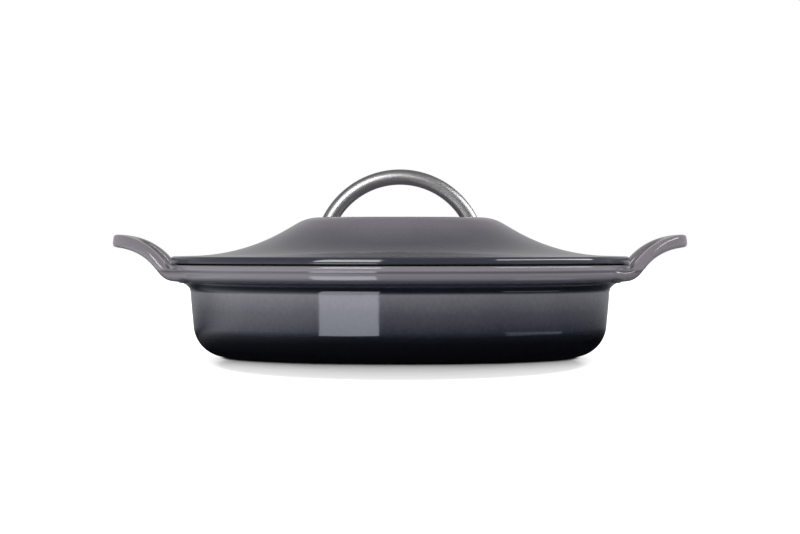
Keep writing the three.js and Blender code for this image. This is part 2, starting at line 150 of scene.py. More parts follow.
# %% Make the world
DOME_LIGHT = 1.0
DOME_TILT = 0.62
DOME_BEHIND = Vector((-0.3, 0.95, 0))

world = bpy.data.worlds.new("white_studio")
scene.world = world
world.use_nodes = True
sky = world.node_tree
background = sky.nodes["Background"]
background.inputs["Color"].default_value = (1, 1, 1, 1)
look_to = sky.nodes.new("ShaderNodeTexCoord").outputs["Generated"]
behind = vector_maths(sky, "DOT_PRODUCT", look_to, DOME_BEHIND)
dome = stretch(sky, behind, -1, 1, DOME_LIGHT - DOME_TILT, DOME_LIGHT + DOME_TILT)
path = sky.nodes.new("ShaderNodeLightPath")
seen = maths(sky, "MAXIMUM", path.outputs["Is Camera Ray"], path.outputs["Is Glossy Ray"])
seen = maths(sky, "MAXIMUM", seen, path.outputs["Is Transmission Ray"])
level = sky.nodes.new("ShaderNodeMix")
level.inputs["B"].default_value = 1
sky.links.new(seen, level.inputs["Factor"])
sky.links.new(dome, level.inputs["A"])
sky.links.new(level.outputs["Result"], background.inputs["Strength"])
print("the dome gives", DOME_LIGHT - DOME_TILT, "in front and", DOME_LIGHT + DOME_TILT, "behind")

# %% [markdown]
# ## Floor
# The floor is a large sheet that takes the pot's shadow. As in the photograph, the shadow reaches
# forward and hardly to the sides. So outside an oval patch the sheet glows white for the camera
# alone, and inside it the sheet only shows what falls on it. Under the pot there is no glow
# either, so the line round the foot stays dark.

# %% Lay the floor
FLOOR_SIZE = 14.0
FLOOR_WHITE = 0.9
FLOOR_SEEN = 0.6
SHADOW_MIDDLE = (0, 0.09, 0)
SHADOW_REACH = (1 / 0.22, 1 / 0.46, 0)
GLOW_BY_REACH = [
    (0.27, 0.0), (0.39, 0.08), (0.48, 0.16), (0.5, 0.22), (0.53, 0.6), (0.57, 0.8), (0.75, 1.0)
]
GLOW_FROM_AXIS = (113.5 * MM, 117.5 * MM)

bpy.ops.object.select_all(action="DESELECT")
bpy.ops.mesh.primitive_plane_add(size=FLOOR_SIZE, location=(0, 0, 0))
floor = bpy.context.object
floor.name = "floor"
floor_paint = bpy.data.materials.new("floor_white")
floor_paint.use_nodes = True
floor_tree = floor_paint.node_tree
floor_shader = floor_tree.nodes["Principled BSDF"]
floor_shader.inputs["Roughness"].default_value = 0.9
floor_shader.inputs["Specular IOR Level"].default_value = 0
floor_shader.inputs["Emission Color"].default_value = (1, 1, 1, 1)
floor_place = object_coordinates(floor_tree)
by_camera = floor_tree.nodes.new("ShaderNodeLightPath").outputs["Is Camera Ray"]
floor_tone = stretch(floor_tree, by_camera, 0, 1, FLOOR_WHITE, FLOOR_SEEN)
floor_tree.links.new(floor_tone, floor_shader.inputs["Base Color"])
shifted = floor_tree.nodes.new("ShaderNodeVectorMath")
shifted.inputs[1].default_value = SHADOW_MIDDLE
floor_tree.links.new(floor_place, shifted.inputs[0])
squeezed = vector_maths(floor_tree, "MULTIPLY", shifted.outputs[0], SHADOW_REACH)
from_shadow = vector_maths(floor_tree, "LENGTH", squeezed)
outside_shadow = colour_ramp(floor_tree, from_shadow, GLOW_BY_REACH)
flat_place = vector_maths(floor_tree, "MULTIPLY", floor_place, (1, 1, 0))
from_axis = vector_maths(floor_tree, "LENGTH", flat_place)
from_foot = stretch(floor_tree, from_axis, *GLOW_FROM_AXIS)
floor_glow = maths(floor_tree, "MULTIPLY", outside_shadow, from_foot)
floor_glow = maths(floor_tree, "MULTIPLY", floor_glow, by_camera)
floor_tree.links.new(floor_glow, floor_shader.inputs["Emission Strength"])
floor.data.materials.append(floor_paint)
floor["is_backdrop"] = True
print("floor is", FLOOR_SIZE, "m wide")

# %% [markdown]
# ## Lamps
# A soft lamp stands low in front to the left and makes the left of the wall lighter. A weaker one
# stands high to the right and lights that side of the lid. Neither is seen in reflections, because
# the bright panels below take that part.

# %% Set up the soft lamps
def in_front(azimuth, distance, height):
    """A place at an angle from straight in front, positive to the right, in metres."""
    angle = math.radians(azimuth)
    return Vector((distance * math.sin(angle), -distance * math.cos(angle), height))


LAMP_AIM = Vector((0, 0, 0.05))


def soft_lamp(name, place, size, power):
    """A square lamp that looks at the pot and isn't mirrored, with its size in metres."""
    facing = LAMP_AIM - place
    bpy.ops.object.light_add(
        type="AREA", location=place, rotation=facing.to_track_quat("-Z", "Y").to_euler()
    )
    lamp = bpy.context.object
    lamp.name = name
    lamp.data.size = size
    lamp.data.energy = power
    lamp.visible_glossy = False
    print(name, "stands at", [round(value, 2) for value in place])


soft_lamp("left_lamp", in_front(azimuth=-33, distance=1.7, height=0.14), size=0.8, power=8)
soft_lamp("right_lamp", in_front(azimuth=50, distance=1.5, height=1.4), size=0.8, power=5)

# %% [markdown]
# ## What the glaze mirrors
# A glossy pot shows the room it stands in. That room was dark in front of the pot and grey above
# and behind it, the table was dark beside the pot, and bright soft boxes stood left and right. Only
# reflections see the things that are built here, so they cast no shadow and light no floor.

# %% Helpers for the room
BRIGHT = 2


def glowing(piece, strength, tint=(1, 1, 1)):
    """Makes a piece glow for glossy rays alone, and returns its nodes."""
    paint = bpy.data.materials.new(piece.name)
    # Bright cards are sampled like lamps, so that blurred reflections of them have less grain.
    paint.cycles.emission_sampling = "FRONT_BACK" if strength > BRIGHT else "NONE"
    paint.use_nodes = True
    tree = paint.node_tree
    tree.nodes.remove(tree.nodes["Principled BSDF"])
    glow = tree.nodes.new("ShaderNodeEmission")
    glow.inputs["Color"].default_value = (tint[0], tint[1], tint[2], 1)
    glow.inputs["Strength"].default_value = strength
    tree.links.new(glow.outputs[0], tree.nodes["Material Output"].inputs["Surface"])
    piece.data.materials.append(paint)
    piece.visible_camera = False
    piece.visible_diffuse = False
    piece.visible_shadow = False
    piece.visible_transmission = False
    piece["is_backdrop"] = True
    return tree


def card(name, corners, strength, tint=(1, 1, 1)):
    """A flat card with its corners in metres."""
    mesh = bpy.data.meshes.new(name)
    mesh.from_pydata([Vector(corner) for corner in corners], [], [tuple(range(len(corners)))])
    sheet = bpy.data.objects.new(name, mesh)
    scene.collection.objects.link(sheet)
    return glowing(sheet, strength, tint)


def on_table(points, height=0.6):
    """Corners of a card that lies just above the table, from points in millimetres."""
    return [(x * MM, y * MM, height * MM) for x, y in points]


# %% [markdown]
# ## Room and table
# A large ball round the pot carries the tones of the room. A card on the table is black under the
# pot and grows lighter outward, which paints the pot's shadow on the table into what the glaze
# mirrors. On the left it is lighter still, because the lower left of the wall, which leans out and
# mirrors what is low, is pale in the photograph.

# %% Build the room
ROOM_RADIUS = 3.0
ROOM_BY_HEIGHT = [(0.0, 0.42), (0.34, 0.42), (0.54, 0.3), (0.7, 0.21), (0.87, 0.25), (1.0, 0.3)]
ROOM_BY_DEPTH = [(0.0, 0.12), (0.1, 0.4), (0.25, 1.0), (1.0, 1.0)]
# Painted shadow: the table card stays nearly black within about 0.15 m of the pot's axis.
TABLE_BY_REACH = [(0.0, 0.0), (0.25, 0.005), (0.4, 0.05), (0.6, 0.16), (1.0, 0.3)]
TABLE_SIZE = 2.6
TABLE_REACH = 0.6
TABLE_HEIGHT = 0.3
TABLE_TINT = (0.92, 0.96, 1)
LEFT_GLOW_REACH = (0.125, 0.26)
LEFT_GLOW_TURN = (0.2, 0.7)
BACK_TURN = (-0.25, 0.5)

bpy.ops.object.select_all(action="DESELECT")
bpy.ops.mesh.primitive_uv_sphere_add(segments=48, ring_count=24, radius=ROOM_RADIUS)
room = bpy.context.object
room.name = "room"
room_tree = glowing(room, 1)
room_split = room_tree.nodes.new("ShaderNodeSeparateXYZ")
room_tree.links.new(object_coordinates(room_tree), room_split.inputs[0])
room_height = stretch(room_tree, room_split.outputs["Z"], 0, ROOM_RADIUS)
room_depth = stretch(room_tree, room_split.outputs["Y"], -ROOM_RADIUS, ROOM_RADIUS)
by_height = colour_ramp(room_tree, room_height, ROOM_BY_HEIGHT)
by_depth = colour_ramp(room_tree, room_depth, ROOM_BY_DEPTH)
room_tone = maths(room_tree, "MULTIPLY", by_height, by_depth)
room_tree.links.new(room_tone, room_tree.nodes["Emission"].inputs["Strength"])

half_table = TABLE_SIZE / 2
table_corners = [(-half_table, -half_table), (half_table, -half_table)]
table_corners += [(half_table, half_table), (-half_table, half_table)]
table_corners = [(x, y, TABLE_HEIGHT * MM) for x, y in table_corners]
table_tree = card("table_card", table_corners, 1, TABLE_TINT)
table_place = object_coordinates(table_tree)
table_reach = vector_maths(table_tree, "LENGTH", table_place)
table_share = stretch(table_tree, table_reach, 0, TABLE_REACH)
table_tone = colour_ramp(table_tree, table_share, TABLE_BY_REACH)
left_side = vector_maths(table_tree, "DOT_PRODUCT", table_place, (-1, 0, 0))
left_side = maths(table_tree, "DIVIDE", left_side, table_reach)
left_side = stretch(table_tree, left_side, *LEFT_GLOW_TURN, ease=True)
back_side = vector_maths(table_tree, "DOT_PRODUCT", table_place, (0, 1, 0))
back_side = maths(table_tree, "DIVIDE", back_side, table_reach)
not_back = stretch(table_tree, back_side, *BACK_TURN, 1.0, 0.0, ease=True)
beyond_base = stretch(table_tree, table_reach, *LEFT_GLOW_REACH, ease=True)
left_glow = maths(table_tree, "MULTIPLY", left_side, beyond_base)
left_glow = maths(table_tree, "MULTIPLY", left_glow, not_back)
table_tone = maths(table_tree, "ADD", table_tone, left_glow)
table_tree.links.new(table_tone, table_tree.nodes["Emission"].inputs["Strength"])
print("room and table are", 2 * ROOM_RADIUS, "and", TABLE_SIZE, "m wide")

# %% [markdown]
# ## Soft boxes
# One bright box stands in front to the left and one beside the pot to the right. They draw the
# light lines along the rim, the flange and the rod. Two cards that lie on the table draw the
# patch low on the left of the wall and the thin line low on the right. Each has the shape and
# place at which the round pot mirrors it as the photograph shows.

# %% Hang the soft boxes
left_box = [in_front(-42, 1.7, 0.42), in_front(-9.5, 1.7, 0.42)]
left_box += [in_front(-9.5, 1.45, 1.5), in_front(-42, 1.45, 1.5)]
card("left_box", left_box, strength=9.5)
right_box = [(1.0, -0.85, 0.81), (1.0, 0.33, 0.41), (1.0, 0.5, 0.63), (1.0, -0.63, 1.29)]
card("right_box", right_box, strength=8)
low_patch = [(-79, -152), (-21, -172), (-54, -341), (-207, -287)]
card("low_patch", on_table(low_patch), strength=4.8, tint=(0.86, 0.9, 1.0))
low_strip = [(102, -135), (140, -108), (164, -74), (196, -68), (174, -111), (136, -157)]
card("low_strip", on_table(low_strip), strength=0.9, tint=(0.8, 0.88, 1.0))
print("soft boxes stand", [round(corner[2], 2) for corner in left_box + right_box], "m high")

# %% [markdown]
# ## Turning a profile
# The pot and the lid are round, and on a lathe or in a foundry they come from one outline turned
# about an axis. The same is done here: a single vertex is extruded from point to point along half
# of the section, and the spin tool turns the line round. Doubles are merged along the seam and on
# the axis, and the normals are made to point outward.

# %% Helpers for profiles
ROUND_STEPS = 192
MERGE_DISTANCE = 0.001 * MM


def arc(centre, radius, start, end, steps):
    """Points of an arc about a centre, from one angle to another in degrees."""
    points = []
    for step in range(steps + 1):
        angle = math.radians(start + (end - start) * step / steps)
        points.append(
            (centre[0] + radius * math.cos(angle), centre[1] + radius * math.sin(angle))
        )
    return points


def draw_profile(name, points):
    """Extrudes one vertex along points of radius and height, and stays in edit mode."""
    bpy.ops.object.select_all(action="DESELECT")
    first = (points[0][0] * MM, 0, points[0][1] * MM)
    bpy.ops.mesh.primitive_plane_add(size=MM, location=first)
    piece = bpy.context.object
    piece.name = name
    bpy.ops.object.mode_set(mode="EDIT")
    bpy.ops.mesh.select_mode(type="VERT")
    bpy.ops.mesh.select_all(action="SELECT")
    bpy.ops.mesh.merge(type="CENTER")
    for start, end in zip(points, points[1:]):
        step = ((end[0] - start[0]) * MM, 0, (end[1] - start[1]) * MM)
        bpy.ops.mesh.extrude_region_move(TRANSFORM_OT_translate={"value": step})
    return piece


def turn_profile(name, points, steps=ROUND_STEPS, centre=(0, 0, 0)):
    """Spins a profile about the vertical axis and closes the seam and the poles."""
    piece = draw_profile(name, points)
    bpy.ops.mesh.select_all(action="SELECT")
    bpy.ops.mesh.spin(steps=steps, angle=2 * math.pi, center=(0, 0, 0), axis=(0, 0, 1))
    bpy.ops.mesh.select_all(action="SELECT")
    bpy.ops.mesh.remove_doubles(threshold=MERGE_DISTANCE)
    bpy.ops.mesh.normals_make_consistent(inside=False)
    bpy.ops.transform.translate(value=Vector(centre) * MM)
    bpy.ops.object.mode_set(mode="OBJECT")
    settle(piece)
    print(name, "has", len(piece.data.polygons), "faces")
    return piece


def settle(piece):
    """Puts the object at the origin, unturned and unscaled, with its place in its mesh."""
    bpy.ops.object.select_all(action="DESELECT")
    piece.select_set(True)
    bpy.context.view_layer.objects.active = piece
    bpy.ops.object.transform_apply(location=True, rotation=True, scale=True)


def soften(piece, angle=32):
    """Shades a piece smooth, apart from edges sharper than the angle."""
    bpy.ops.object.select_all(action="DESELECT")
    piece.select_set(True)
    bpy.context.view_layer.objects.active = piece
    bpy.ops.object.shade_smooth_by_angle(angle=math.radians(angle))


# %% [markdown]
# ## The pot's shell
# The casting has a level floor on a foot ring, a wall that leans out a little so it leaves the
# mould, and a wide flange with a hollow curve under it. Above a soft groove lies the lip, with the
# flat seat for the lid. The outline runs from under the middle out to the rim and back inside.

# %% Sizes of the shell
RIM_RADIUS = round(cad_box[1][1] / MM, 1)
SEAT_HEIGHT = 60.5
SEAT_WIDTH = 8.6
WALL_TOP = (136, 43.2)
WALL_DRAFT = 5.3
WALL_THICKNESS = 4
FOOT_HEIGHT = 0.85
FOOT_WIDTH = 10
FOOT_ROUNDING = 0.5
FOOT_TAPER = 0.8
FLOOR_THICKNESS = 4.5
FLOOR_TOP = FOOT_HEIGHT + FLOOR_THICKNESS
BASE_CORNER = 21.3
FLANGE_WIDTH = RIM_RADIUS - WALL_TOP[0]
COVE_HEIGHT = 6.8
COVE_TURN = 72
FLANGE_INSET = 0.3
FLANGE_RADIUS = RIM_RADIUS - FLANGE_INSET
FLANGE_EDGE = 5.5
LIP_EDGE = 1.7
MOUTH_EDGE = 1.2
GROOVE_LOW = 55.2
GROOVE_HIGH = 57.6
GROOVE_DEPTH = 0.06
FLANGE_MIDDLE = WALL_TOP[1] + (COVE_HEIGHT + FLANGE_EDGE) * math.sin(math.radians(COVE_TURN))
MOUTH_DEPTH = 5.5
MOUTH_RADIUS = RIM_RADIUS - SEAT_WIDTH
MOUTH_LOW = SEAT_HEIGHT - MOUTH_DEPTH
print("rim radius", RIM_RADIUS, "mouth radius", round(MOUTH_RADIUS, 2))

# %% [markdown]
# ## The shell's outline
# Round corners are drawn as arcs. The two places where the width changes softly, the groove
# outside and the step inside, ease in and out. The base corner has to touch both the level of the
# foot and the leaning wall, so its middle is worked out.

# %% Turn the shell
def smooth(value):
    """Eases from 0 to 1."""
    value = min(max(value, 0.0), 1.0)
    return value * value * (3 - 2 * value)


def corner_centre(wall_point, level, radius):
    """The centre of a circle that touches a level and a leaning wall through a point."""
    lean = math.radians(WALL_DRAFT)
    height = level + radius
    wall_radius = wall_point[0] - (wall_point[1] - height) * math.tan(lean)
    return (wall_radius - radius / math.cos(lean), height)


def shell_outside():
    """The outline from under the middle, round the foot and up to the seat."""
    base = corner_centre(WALL_TOP, FOOT_HEIGHT, BASE_CORNER)
    foot_inner = base[0] - FOOT_WIDTH
    points = [(0, FOOT_HEIGHT), (foot_inner - FOOT_ROUNDING, FOOT_HEIGHT)]
    points += arc((foot_inner + FOOT_TAPER, FOOT_ROUNDING), FOOT_ROUNDING, 180, 270, 4)
    points += arc((base[0] - FOOT_TAPER, FOOT_ROUNDING), FOOT_ROUNDING, 270, 345, 4)
    points += arc(base, BASE_CORNER, -88, -WALL_DRAFT, 22)
    for step in range(13):
        angle = math.radians(COVE_TURN * step / 12)
        radius = WALL_TOP[0] + FLANGE_WIDTH * (1 - math.cos(angle))
        points.append((radius, WALL_TOP[1] + COVE_HEIGHT * math.sin(angle)))
    points += arc((FLANGE_RADIUS - FLANGE_EDGE, FLANGE_MIDDLE), FLANGE_EDGE, -COVE_TURN, 0, 12)[1:]
    for step in range(11):
        share = step / 10
        radius = FLANGE_RADIUS + (RIM_RADIUS - FLANGE_RADIUS) * smooth(share)
        radius -= GROOVE_DEPTH * math.sin(math.pi * share) ** 2
        points.append((radius, GROOVE_LOW + (GROOVE_HIGH - GROOVE_LOW) * share))
    return points + arc((RIM_RADIUS - LIP_EDGE, SEAT_HEIGHT - LIP_EDGE), LIP_EDGE, 0, 90, 6)


def shell_inside():
    """The outline from the seat down the mouth and in to the middle of the floor."""
    points = arc((MOUTH_RADIUS + MOUTH_EDGE, SEAT_HEIGHT - MOUTH_EDGE), MOUTH_EDGE, 90, 180, 5)
    wall_top = (WALL_TOP[0] - WALL_THICKNESS / math.cos(math.radians(WALL_DRAFT)), WALL_TOP[1])
    for step in range(11):
        share = 1 - step / 10
        radius = wall_top[0] + (MOUTH_RADIUS - wall_top[0]) * smooth(share)
        points.append((radius, wall_top[1] + (MOUTH_LOW - wall_top[1]) * share))
    radius = BASE_CORNER - WALL_THICKNESS
    floor_corner = corner_centre(wall_top, FLOOR_TOP, radius)
    points += arc(floor_corner, radius, -WALL_DRAFT, -90, 16)[1:]
    return points + [(0, FLOOR_TOP)]


pot_shell = turn_profile("pot_shell", shell_outside() + shell_inside())

# %% [markdown]
# ## The side handles
# Each side handle is a flat bar bent into a loop. It leaves the flange level, turns up steeply and
# sweeps back to nearly level at its end. At the roots the bar spreads along the rim in a long
# fillet, so the metal runs from the flange into the handle without an edge. No tool lays a section
# along such a line while it widens, so a ring is extruded again and again, and each new ring is
# put in place by a formula. The first and last rings lie inside the flange.

# %% How a side handle flares
BAR_WIDTH = 15
BAR_TIP = 178.5
ROOT_HEIGHT = 53.8
ROOT_THICKNESS = 9
NECK_THICKNESS = 7.2
TIP_THICKNESS = 9.1
BEND_START = 144.7
BEND_RADIUS = 6.6
FLARE_ANGLE = math.radians(53.6)
FLARE_LENGTH = 4.3
SWEEP_RADIUS = 38
TIP_ANGLE = math.radians(2)


def flare(distance):
    """Height and slope of a side handle at a distance from the pot's axis."""
    bend_end = BEND_START + BEND_RADIUS * math.sin(FLARE_ANGLE)
    straight_end = bend_end + FLARE_LENGTH * math.cos(FLARE_ANGLE)
    bend_top = ROOT_HEIGHT + BEND_RADIUS * (1 - math.cos(FLARE_ANGLE))
    if distance < BEND_START:
        return ROOT_HEIGHT, 0.0
    if distance < bend_end:
        angle = math.asin((distance - BEND_START) / BEND_RADIUS)
        return ROOT_HEIGHT + BEND_RADIUS * (1 - math.cos(angle)), angle
    if distance < straight_end:
        return bend_top + (distance - bend_end) * math.tan(FLARE_ANGLE), FLARE_ANGLE
    straight_top = bend_top + FLARE_LENGTH * math.sin(FLARE_ANGLE)
    sine = math.sin(FLARE_ANGLE) - (distance - straight_end) / SWEEP_RADIUS
    angle = math.asin(max(sine, math.sin(TIP_ANGLE)))
    reached = straight_end + SWEEP_RADIUS * (math.sin(FLARE_ANGLE) - math.sin(angle))
    height = straight_top + SWEEP_RADIUS * (math.cos(angle) - math.cos(FLARE_ANGLE))
    return height + (distance - reached) * math.tan(angle), angle


# %% [markdown]
# ## Thickness and fillets
# The bar is thinnest at its neck, where it turns up. At the root it meets the round edge of the
# flange, so the root's ends have to follow that edge inward below its widest line. The fillets
# beside the root are quarter circles, wide on the outside of the loop and narrower in it.

# %% Thickness and fillets of the bar
EDGE_SHARE = 0.97


def bar_thickness(distance):
    """The bar is thin at its neck and thicker at the rim and the tip."""
    neck = RIM_RADIUS + BEND_RADIUS / 2
    if distance < neck:
        share = smooth((distance - MOUTH_RADIUS) / (neck - MOUTH_RADIUS))
        return ROOT_THICKNESS + (NECK_THICKNESS - ROOT_THICKNESS) * share
    share = (distance - neck) / (BAR_TIP + BAR_WIDTH / 2 - neck)
    return NECK_THICKNESS + (TIP_THICKNESS - NECK_THICKNESS) * share


def undercut(height):
    """How far the flange's face lies inside its widest line, at a height."""
    below = min(max(FLANGE_MIDDLE - height, 0.0), FLANGE_EDGE * EDGE_SHARE)
    return FLANGE_EDGE - math.sqrt(FLANGE_EDGE * FLANGE_EDGE - below * below)


def fillet(outside, radius):
    """How much wider a bar is for the fillet at its root, at a distance outside the rim."""
    left = min(max(radius - outside, 0.0), radius)
    return radius - math.sqrt(radius * radius - left * left)


# %% [markdown]
# ## Rings along a leg
# A leg is built of rings, like thin slices of the bar. They lie close together in the fillet, where
# the width changes fast. Near the rim a ring follows the rim's own curve, so that it sinks into the
# flange evenly, and further out it is flat. The section is nearly an ellipse at the root and
# squarer at the tip.

# %% Where the rings of a side handle lie
LEG_CORNERS = [(126.9, -43.5), (164.2, -37.5), (BAR_TIP, -35.6), (BAR_TIP, 0)]
ROOT_RINGS = 16
BAR_RINGS = 18
FINE_STEPS = 400
ROOT_LENGTH = 24
ROOT_PLANE_REACH = 15
ROOT_SINK = 0.35
UNDERCUT_REACH = 9
OUTER_FILLET = 21
INNER_FILLET = 13
UPPER_FILLET = 2.2
SIDE_FILLET_SQUASH = 0.8
RING_CORNERS = 32
ROOT_ROUNDNESS = 2.6
TIP_ROUNDNESS = 4.6
SQUARE_FROM = 158
SQUARE_OVER = 20


def leg_line():
    """Points along the middle of the front leg, seen from above, from root to tip."""
    knots = [Vector((x, y, 0)) for x, y in LEG_CORNERS]
    return interpolate_bezier(*knots, FINE_STEPS)


def at_length(line, lengths, wanted):
    """The point and direction of a line at a length along it."""
    index = 1
    while index < len(line) - 1 and lengths[index] < wanted:
        index += 1
    start, end = line[index - 1], line[index]
    share = (wanted - lengths[index - 1]) / (lengths[index] - lengths[index - 1])
    return start.lerp(end, share), (end - start).normalized()


def ring_stations():
    """Middle points and headings of the rings of one leg: close together in the fillet."""
    line = leg_line()
    lengths = [0.0]
    for start, end in zip(line, line[1:]):
        lengths.append(lengths[-1] + (end - start).length)
    rim_index = next(i for i, p in enumerate(line) if p.length > RIM_RADIUS)
    rim_length = lengths[rim_index]
    root = []
    for step in range(ROOT_RINGS + 1):
        share = 1 - math.cos(math.pi / 2 * step / ROOT_RINGS)
        root.append(rim_length + ROOT_LENGTH * share)
    left = lengths[-1] - root[-1]
    bar = [root[-1] + left * (step + 1) / BAR_RINGS for step in range(BAR_RINGS)]
    return [at_length(line, lengths, wanted) for wanted in root + bar]


def ring_points(middle, heading):
    """Corners of one ring. Near the rim it lies on the rim's curve, further out it is flat."""
    outside = max(middle.length - RIM_RADIUS, 0.0)
    flatness = smooth(outside / ROOT_PLANE_REACH)
    height, slope = flare(middle.x)
    along = Vector((heading.x, heading.y, heading.x * math.tan(slope))).normalized()
    up = Vector((-math.sin(slope), 0, math.cos(slope)))
    across = along.cross(up)
    half_up = bar_thickness(middle.x) / 2
    half_up += SIDE_FILLET_SQUASH * fillet(outside, UPPER_FILLET) / 2
    squareness = smooth((middle.x - SQUARE_FROM) / SQUARE_OVER)
    power = 2 / (ROOT_ROUNDNESS + (TIP_ROUNDNESS - ROOT_ROUNDNESS) * squareness)
    middle_angle = math.atan2(middle.y, middle.x)
    points = []
    for corner in range(RING_CORNERS):
        turn = 2 * math.pi * corner / RING_CORNERS
        wide = math.copysign(abs(math.cos(turn)) ** power, math.cos(turn))
        high = math.copysign(abs(math.sin(turn)) ** power, math.sin(turn)) * half_up
        outer = wide > 0
        half_width = BAR_WIDTH / 2 + fillet(outside, OUTER_FILLET if outer else INNER_FILLET)
        flat = Vector((middle.x, middle.y, height)) + across * wide * half_width + up * high
        angle = middle_angle - wide * half_width / RIM_RADIUS
        radius = RIM_RADIUS + outside - ROOT_SINK
        radius -= undercut(height + high) * (1 - smooth(outside / UNDERCUT_REACH))
        bent = Vector((radius * math.cos(angle), radius * math.sin(angle), 0))
        bent_height, bent_slope = flare(bent.x)
        bent.x -= high * math.sin(bent_slope)
        bent.z = bent_height + high * math.cos(bent_slope)
        points.append(bent.lerp(flat, flatness))
    return points


# %% [markdown]
# ## Extruding the loop
# The first ring is a filled circle, and each next ring is extruded from the last one and put in
# place. The back leg is the front leg mirrored, so only one leg is worked out. A small core
# inside the flange closes the start, and the last ring is filled.

# %% Extrude the right handle ring by ring
CORE_SHARE = 0.982


def place_ring(mesh_edit, corners, points):
    """Moves the corners of a ring to points in millimetres."""
    for vertex, place in zip(corners, points):
        vertex.co = place * MM
    bmesh.update_edit_mesh(mesh_edit)


def next_ring(piece, corners, points):
    """Extrudes the selected ring and puts the new corners in place."""
    places = {tuple(round(c, 9) for c in vertex.co): i for i, vertex in enumerate(corners)}
    bpy.ops.mesh.extrude_edges_move()
    edit = bmesh.from_edit_mesh(piece.data)
    fresh = [vertex for vertex in edit.verts if vertex.select]
    fresh.sort(key=lambda vertex: places[tuple(round(c, 9) for c in vertex.co)])
    place_ring(piece.data, fresh, points)
    return fresh


front_leg = [ring_points(middle, heading) for middle, heading in ring_stations()]
core = [Vector((p.x * CORE_SHARE, p.y * CORE_SHARE, p.z)) for p in front_leg[0]]
front_leg.insert(0, core)
back_leg = [[Vector((p.x, -p.y, p.z)) for p in ring] for ring in front_leg[:-1]]
rings = front_leg + back_leg[::-1]

bpy.ops.object.select_all(action="DESELECT")
bpy.ops.mesh.primitive_circle_add(vertices=RING_CORNERS, radius=BAR_WIDTH * MM, fill_type="NGON")
right_handle = bpy.context.object
right_handle.name = "right_handle"
bpy.ops.object.mode_set(mode="EDIT")
bpy.ops.mesh.select_mode(type="EDGE")
bpy.ops.mesh.select_all(action="SELECT")
edit = bmesh.from_edit_mesh(right_handle.data)
ring_vertices = sorted(edit.verts, key=lambda v: math.atan2(v.co.y, v.co.x) % (2 * math.pi))
place_ring(right_handle.data, ring_vertices, rings[0])
for ring in rings[1:]:
    ring_vertices = next_ring(right_handle, ring_vertices, ring)
bpy.ops.mesh.edge_face_add()
bpy.ops.mesh.select_all(action="SELECT")
bpy.ops.mesh.normals_make_consistent(inside=False)
bpy.ops.object.mode_set(mode="OBJECT")
print("right_handle has", len(right_handle.data.polygons), "faces from", len(rings), "rings")

# %% [markdown]
# ## Rounding and copying the loop
# Subdivision rounds the bar, as the thick glaze does on the casting. The pot is the same on both
# sides, so the left handle is a copy of the right one, turned by half a circle.

# %% Smooth the handle and copy it to the left
def use_modifier(piece, kind, **values):
    """Adds a modifier, sets its values and applies it."""
    bpy.ops.object.select_all(action="DESELECT")
    piece.select_set(True)
    bpy.context.view_layer.objects.active = piece
    modifier = piece.modifiers.new(kind.lower(), kind)
    for name, value in values.items():
        setattr(modifier, name, value)
    bpy.ops.object.modifier_apply(modifier=modifier.name)


use_modifier(right_handle, "SUBSURF", levels=2, render_levels=2)
bpy.ops.object.duplicate()
left_handle = bpy.context.object
left_handle.name = "left_handle"
left_handle.rotation_euler.z = math.pi
settle(left_handle)
print("each side handle has", len(left_handle.data.polygons), "faces")

# %% [markdown]
# ## The lid
# The lid is a second casting: a flat top, a rounded shoulder, a short straight slope and a long
# hollow flare out to a rounded rim. Below, a ring centres it in the mouth of the pot, and it rests
# on a flat band outside that ring. It is turned like the pot, and then the screws' holes and their
# shallow spot faces are cut through it with cylinders.

# %% Turn the lid
LID_HEIGHT = 30.5
LID_THICKNESS = 3.8
LID_SEAT_GAP = 0.3
LID_RIM_HEIGHT = 5.2
LID_RIM_ANGLE = 1.7
LID_EDGE = 2.4
LID_LOW_EDGE = 0.9
LID_FLAT_RADIUS = 52.8
LID_SHOULDER = 27.3
LID_SLOPE = 30
LID_FLARE = 123.7
SKIRT_CLEARANCE = 1.1
SKIRT_OUTER = MOUTH_RADIUS - SKIRT_CLEARANCE
SKIRT_WIDTH = 4.4
SKIRT_DEPTH = 3.2
SKIRT_EDGE = 0.7
SKIRT_TAPER = 1.1
RELIEF_WIDTH = 3.5
RELIEF_HEIGHT = 0.5


def lid_line(inset):
    """The lid's upper line from the middle out to the rim, or a line inside it."""
    slope = math.radians(LID_SLOPE)
    rim = math.radians(LID_RIM_ANGLE)
    drop = LID_SHOULDER * (1 - math.cos(slope))
    room = LID_HEIGHT - LID_RIM_HEIGHT - drop
    flare_drop = LID_FLARE * (math.cos(rim) - math.cos(slope))
    flare_width = LID_FLARE * (math.sin(slope) - math.sin(rim))
    shoulder_end = LID_FLAT_RADIUS + LID_SHOULDER * math.sin(slope)
    rest = RIM_RADIUS - LID_EDGE - shoulder_end - flare_width
    straight = room - flare_drop - rest * math.tan(rim)
    straight /= math.sin(slope) - math.cos(slope) * math.tan(rim)
    flare_x = shoulder_end + straight * math.cos(slope)
    flare_z = LID_HEIGHT - drop - straight * math.sin(slope)
    centre = (
        flare_x + LID_FLARE * math.sin(slope),
        SEAT_HEIGHT + flare_z + LID_FLARE * math.cos(slope),
    )
    shoulder_centre = (LID_FLAT_RADIUS, SEAT_HEIGHT + LID_HEIGHT - LID_SHOULDER)
    points = arc(shoulder_centre, LID_SHOULDER - inset, 90, 90 - LID_SLOPE, 10)
    points += arc(centre, LID_FLARE + inset, -90 - LID_SLOPE, -90 - LID_RIM_ANGLE, 22)
    return points


